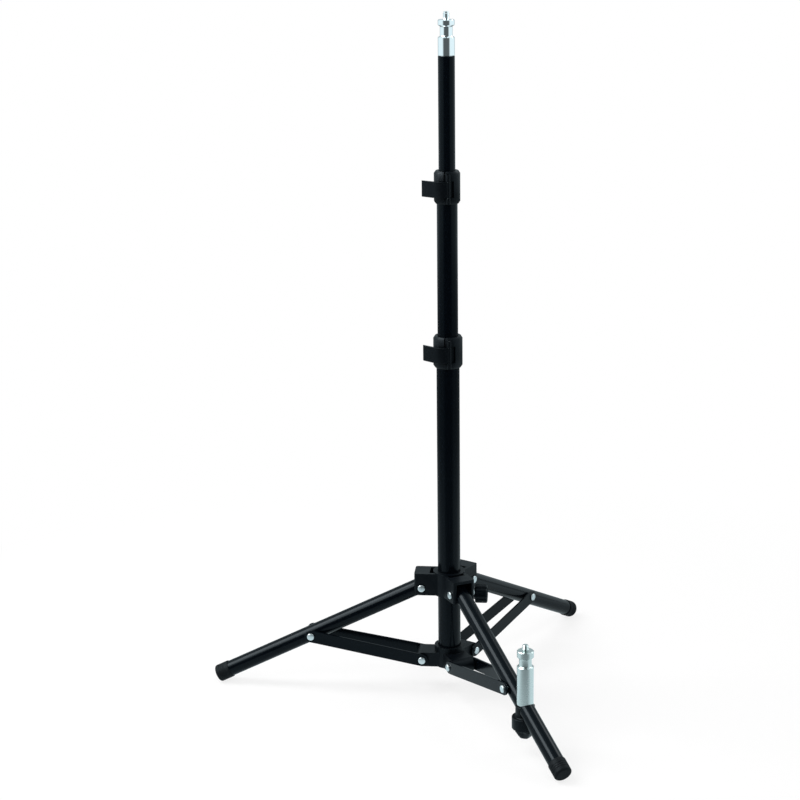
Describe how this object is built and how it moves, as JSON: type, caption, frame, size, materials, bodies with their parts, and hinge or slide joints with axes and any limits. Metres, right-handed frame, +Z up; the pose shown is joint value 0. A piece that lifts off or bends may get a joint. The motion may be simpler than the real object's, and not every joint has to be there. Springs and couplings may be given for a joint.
{
  "type": "light stand",
  "caption": "Compact folding light stand: telescoping three-section column with flip clamps, three strutted legs on a sliding collar, and a second spigot on one leg.",
  "frame": {"origin": "on the floor at the middle of the footprint's bounding box; the column stands a little behind it", "axes": "+Z up along the column; the front leg, which carries the spigot, points along -Y"},
  "size_m": [0.423, 0.3686, 0.6769],
  "materials": {
    "black_paint": "semi-gloss black paint",
    "black_plastic": "moulded black plastic",
    "black_rubber": "matt black rubber",
    "chrome": "bright plated",
    "satin_alloy": "satin turned",
    "bright_steel": "bright plated steel"
  },
  "bodies": {
    "base": {"base_tube": "black_paint", "base_plug": "black_plastic", "strut_collar": "black_plastic", "lower_clamp_body": "black_plastic", "lower_clamp_liner": "black_plastic", "front_strut_bolt": "bright_steel", "right_strut_bolt": "bright_steel", "left_strut_bolt": "bright_steel"},
    "lower_lever": {"lower_clamp_lever": "black_plastic", "lower_clamp_pin": "bright_steel"},
    "mid_section": {"mid_tube": "black_paint", "mid_tube_plug": "black_plastic", "upper_clamp_body": "black_plastic", "upper_clamp_liner": "black_plastic"},
    "upper_lever": {"upper_clamp_lever": "black_plastic", "upper_clamp_pin": "bright_steel"},
    "top_section": {"top_tube": "black_paint", "top_tube_bush": "black_plastic", "top_spigot": "chrome"},
    "collar": {"leg_collar": "black_plastic", "collar_lock_pad": "black_plastic", "front_leg_bolt": "bright_steel", "right_leg_bolt": "bright_steel", "left_leg_bolt": "bright_steel"},
    "lock_knob": {"collar_lock_knob": "black_plastic", "collar_lock_screw": "bright_steel"},
    "front_leg": {"front_leg_tube": "black_paint", "front_foot_cap": "black_rubber", "front_leg_plug": "black_plastic", "front_leg_sleeve": "bright_steel", "leg_spigot": "satin_alloy", "spigot_saddle": "black_plastic", "spigot_screw": "bright_steel"},
    "front_struts": {"front_strut_bar_a": "black_paint", "front_strut_bar_b": "black_paint", "front_strut_rivet_a": "bright_steel", "front_strut_rivet_b": "bright_steel"},
    "right_leg": {"right_leg_tube": "black_paint", "right_foot_cap": "black_rubber", "right_leg_plug": "black_plastic", "right_leg_sleeve": "bright_steel"},
    "right_struts": {"right_strut_bar_a": "black_paint", "right_strut_bar_b": "black_paint", "right_strut_rivet_a": "bright_steel", "right_strut_rivet_b": "bright_steel"},
    "left_leg": {"left_leg_tube": "black_paint", "left_foot_cap": "black_rubber", "left_leg_plug": "black_plastic", "left_leg_sleeve": "bright_steel"},
    "left_struts": {"left_strut_bar_a": "black_paint", "left_strut_bar_b": "black_paint", "left_strut_rivet_a": "bright_steel", "left_strut_rivet_b": "bright_steel"},
    "leg_knob": {"spigot_knob": "black_plastic"}
  },
  "joints": [
    {"name": "collar_slide", "type": "slide", "parent": "base", "child": "collar", "axis": [0, 0, 1], "range_m": [0, 0.132]},
    {"name": "front_leg_fold", "type": "hinge", "parent": "collar", "child": "front_leg", "pos_m": [0, 0.03075, 0.11024], "axis": [1, 0, 0], "range_deg": [0, 35.6]},
    {"name": "front_strut_fold", "type": "hinge", "parent": "base", "child": "front_struts", "pos_m": [0, 0.03075, 0.03374], "axis": [-1, 0, 0], "range_deg": [0, 48]},
    {"name": "right_leg_fold", "type": "hinge", "parent": "collar", "child": "right_leg", "pos_m": [0.02338, 0.07125, 0.11024], "axis": [-0.5, 0.866, 0], "range_deg": [0, 35.6]},
    {"name": "right_strut_fold", "type": "hinge", "parent": "base", "child": "right_struts", "pos_m": [0.02338, 0.07125, 0.03374], "axis": [0.5, -0.866, 0], "range_deg": [0, 48]},
    {"name": "left_leg_fold", "type": "hinge", "parent": "collar", "child": "left_leg", "pos_m": [-0.02338, 0.07125, 0.11024], "axis": [-0.5, -0.866, 0], "range_deg": [0, 35.6]},
    {"name": "left_strut_fold", "type": "hinge", "parent": "base", "child": "left_struts", "pos_m": [-0.02338, 0.07125, 0.03374], "axis": [0.5, 0.866, 0], "range_deg": [0, 48]},
    {"name": "mid_slide", "type": "slide", "parent": "base", "child": "mid_section", "axis": [0, 0, 1], "range_m": [-0.127, 0.055]},
    {"name": "top_slide", "type": "slide", "parent": "mid_section", "child": "top_section", "axis": [0, 0, 1], "range_m": [-0.105, 0.07]},
    {"name": "lower_lever_swing", "type": "hinge", "parent": "base", "child": "lower_lever", "pos_m": [-0.00529, 0.04398, 0.33675], "axis": [0, 0, 1], "range_deg": [0, 110]},
    {"name": "upper_lever_swing", "type": "hinge", "parent": "mid_section", "child": "upper_lever", "pos_m": [-0.0047, 0.04552, 0.49735], "axis": [0, 0, 1], "range_deg": [0, 110]},
    {"name": "lock_knob_turn", "type": "hinge", "parent": "collar", "child": "lock_knob", "pos_m": [0.02598, 0.04275, 0.10194], "axis": [0.866, -0.5, 0], "range_deg": [0, 360]},
    {"name": "leg_knob_turn", "type": "hinge", "parent": "front_leg", "child": "leg_knob", "pos_m": [0, -0.10578, 0.01865], "axis": [0, 0, -1], "range_deg": [0, 360]}
  ],
  "couplings": [
    {"joint": "front_leg_fold", "follows": "collar_slide", "rad_per_m": 4.6626},
    {"joint": "front_strut_fold", "follows": "collar_slide", "rad_per_m": 6.3001},
    {"joint": "right_leg_fold", "follows": "collar_slide", "rad_per_m": 4.6626},
    {"joint": "right_strut_fold", "follows": "collar_slide", "rad_per_m": 6.3001},
    {"joint": "left_leg_fold", "follows": "collar_slide", "rad_per_m": 4.6626},
    {"joint": "left_strut_fold", "follows": "collar_slide", "rad_per_m": 6.3001}
  ]
}
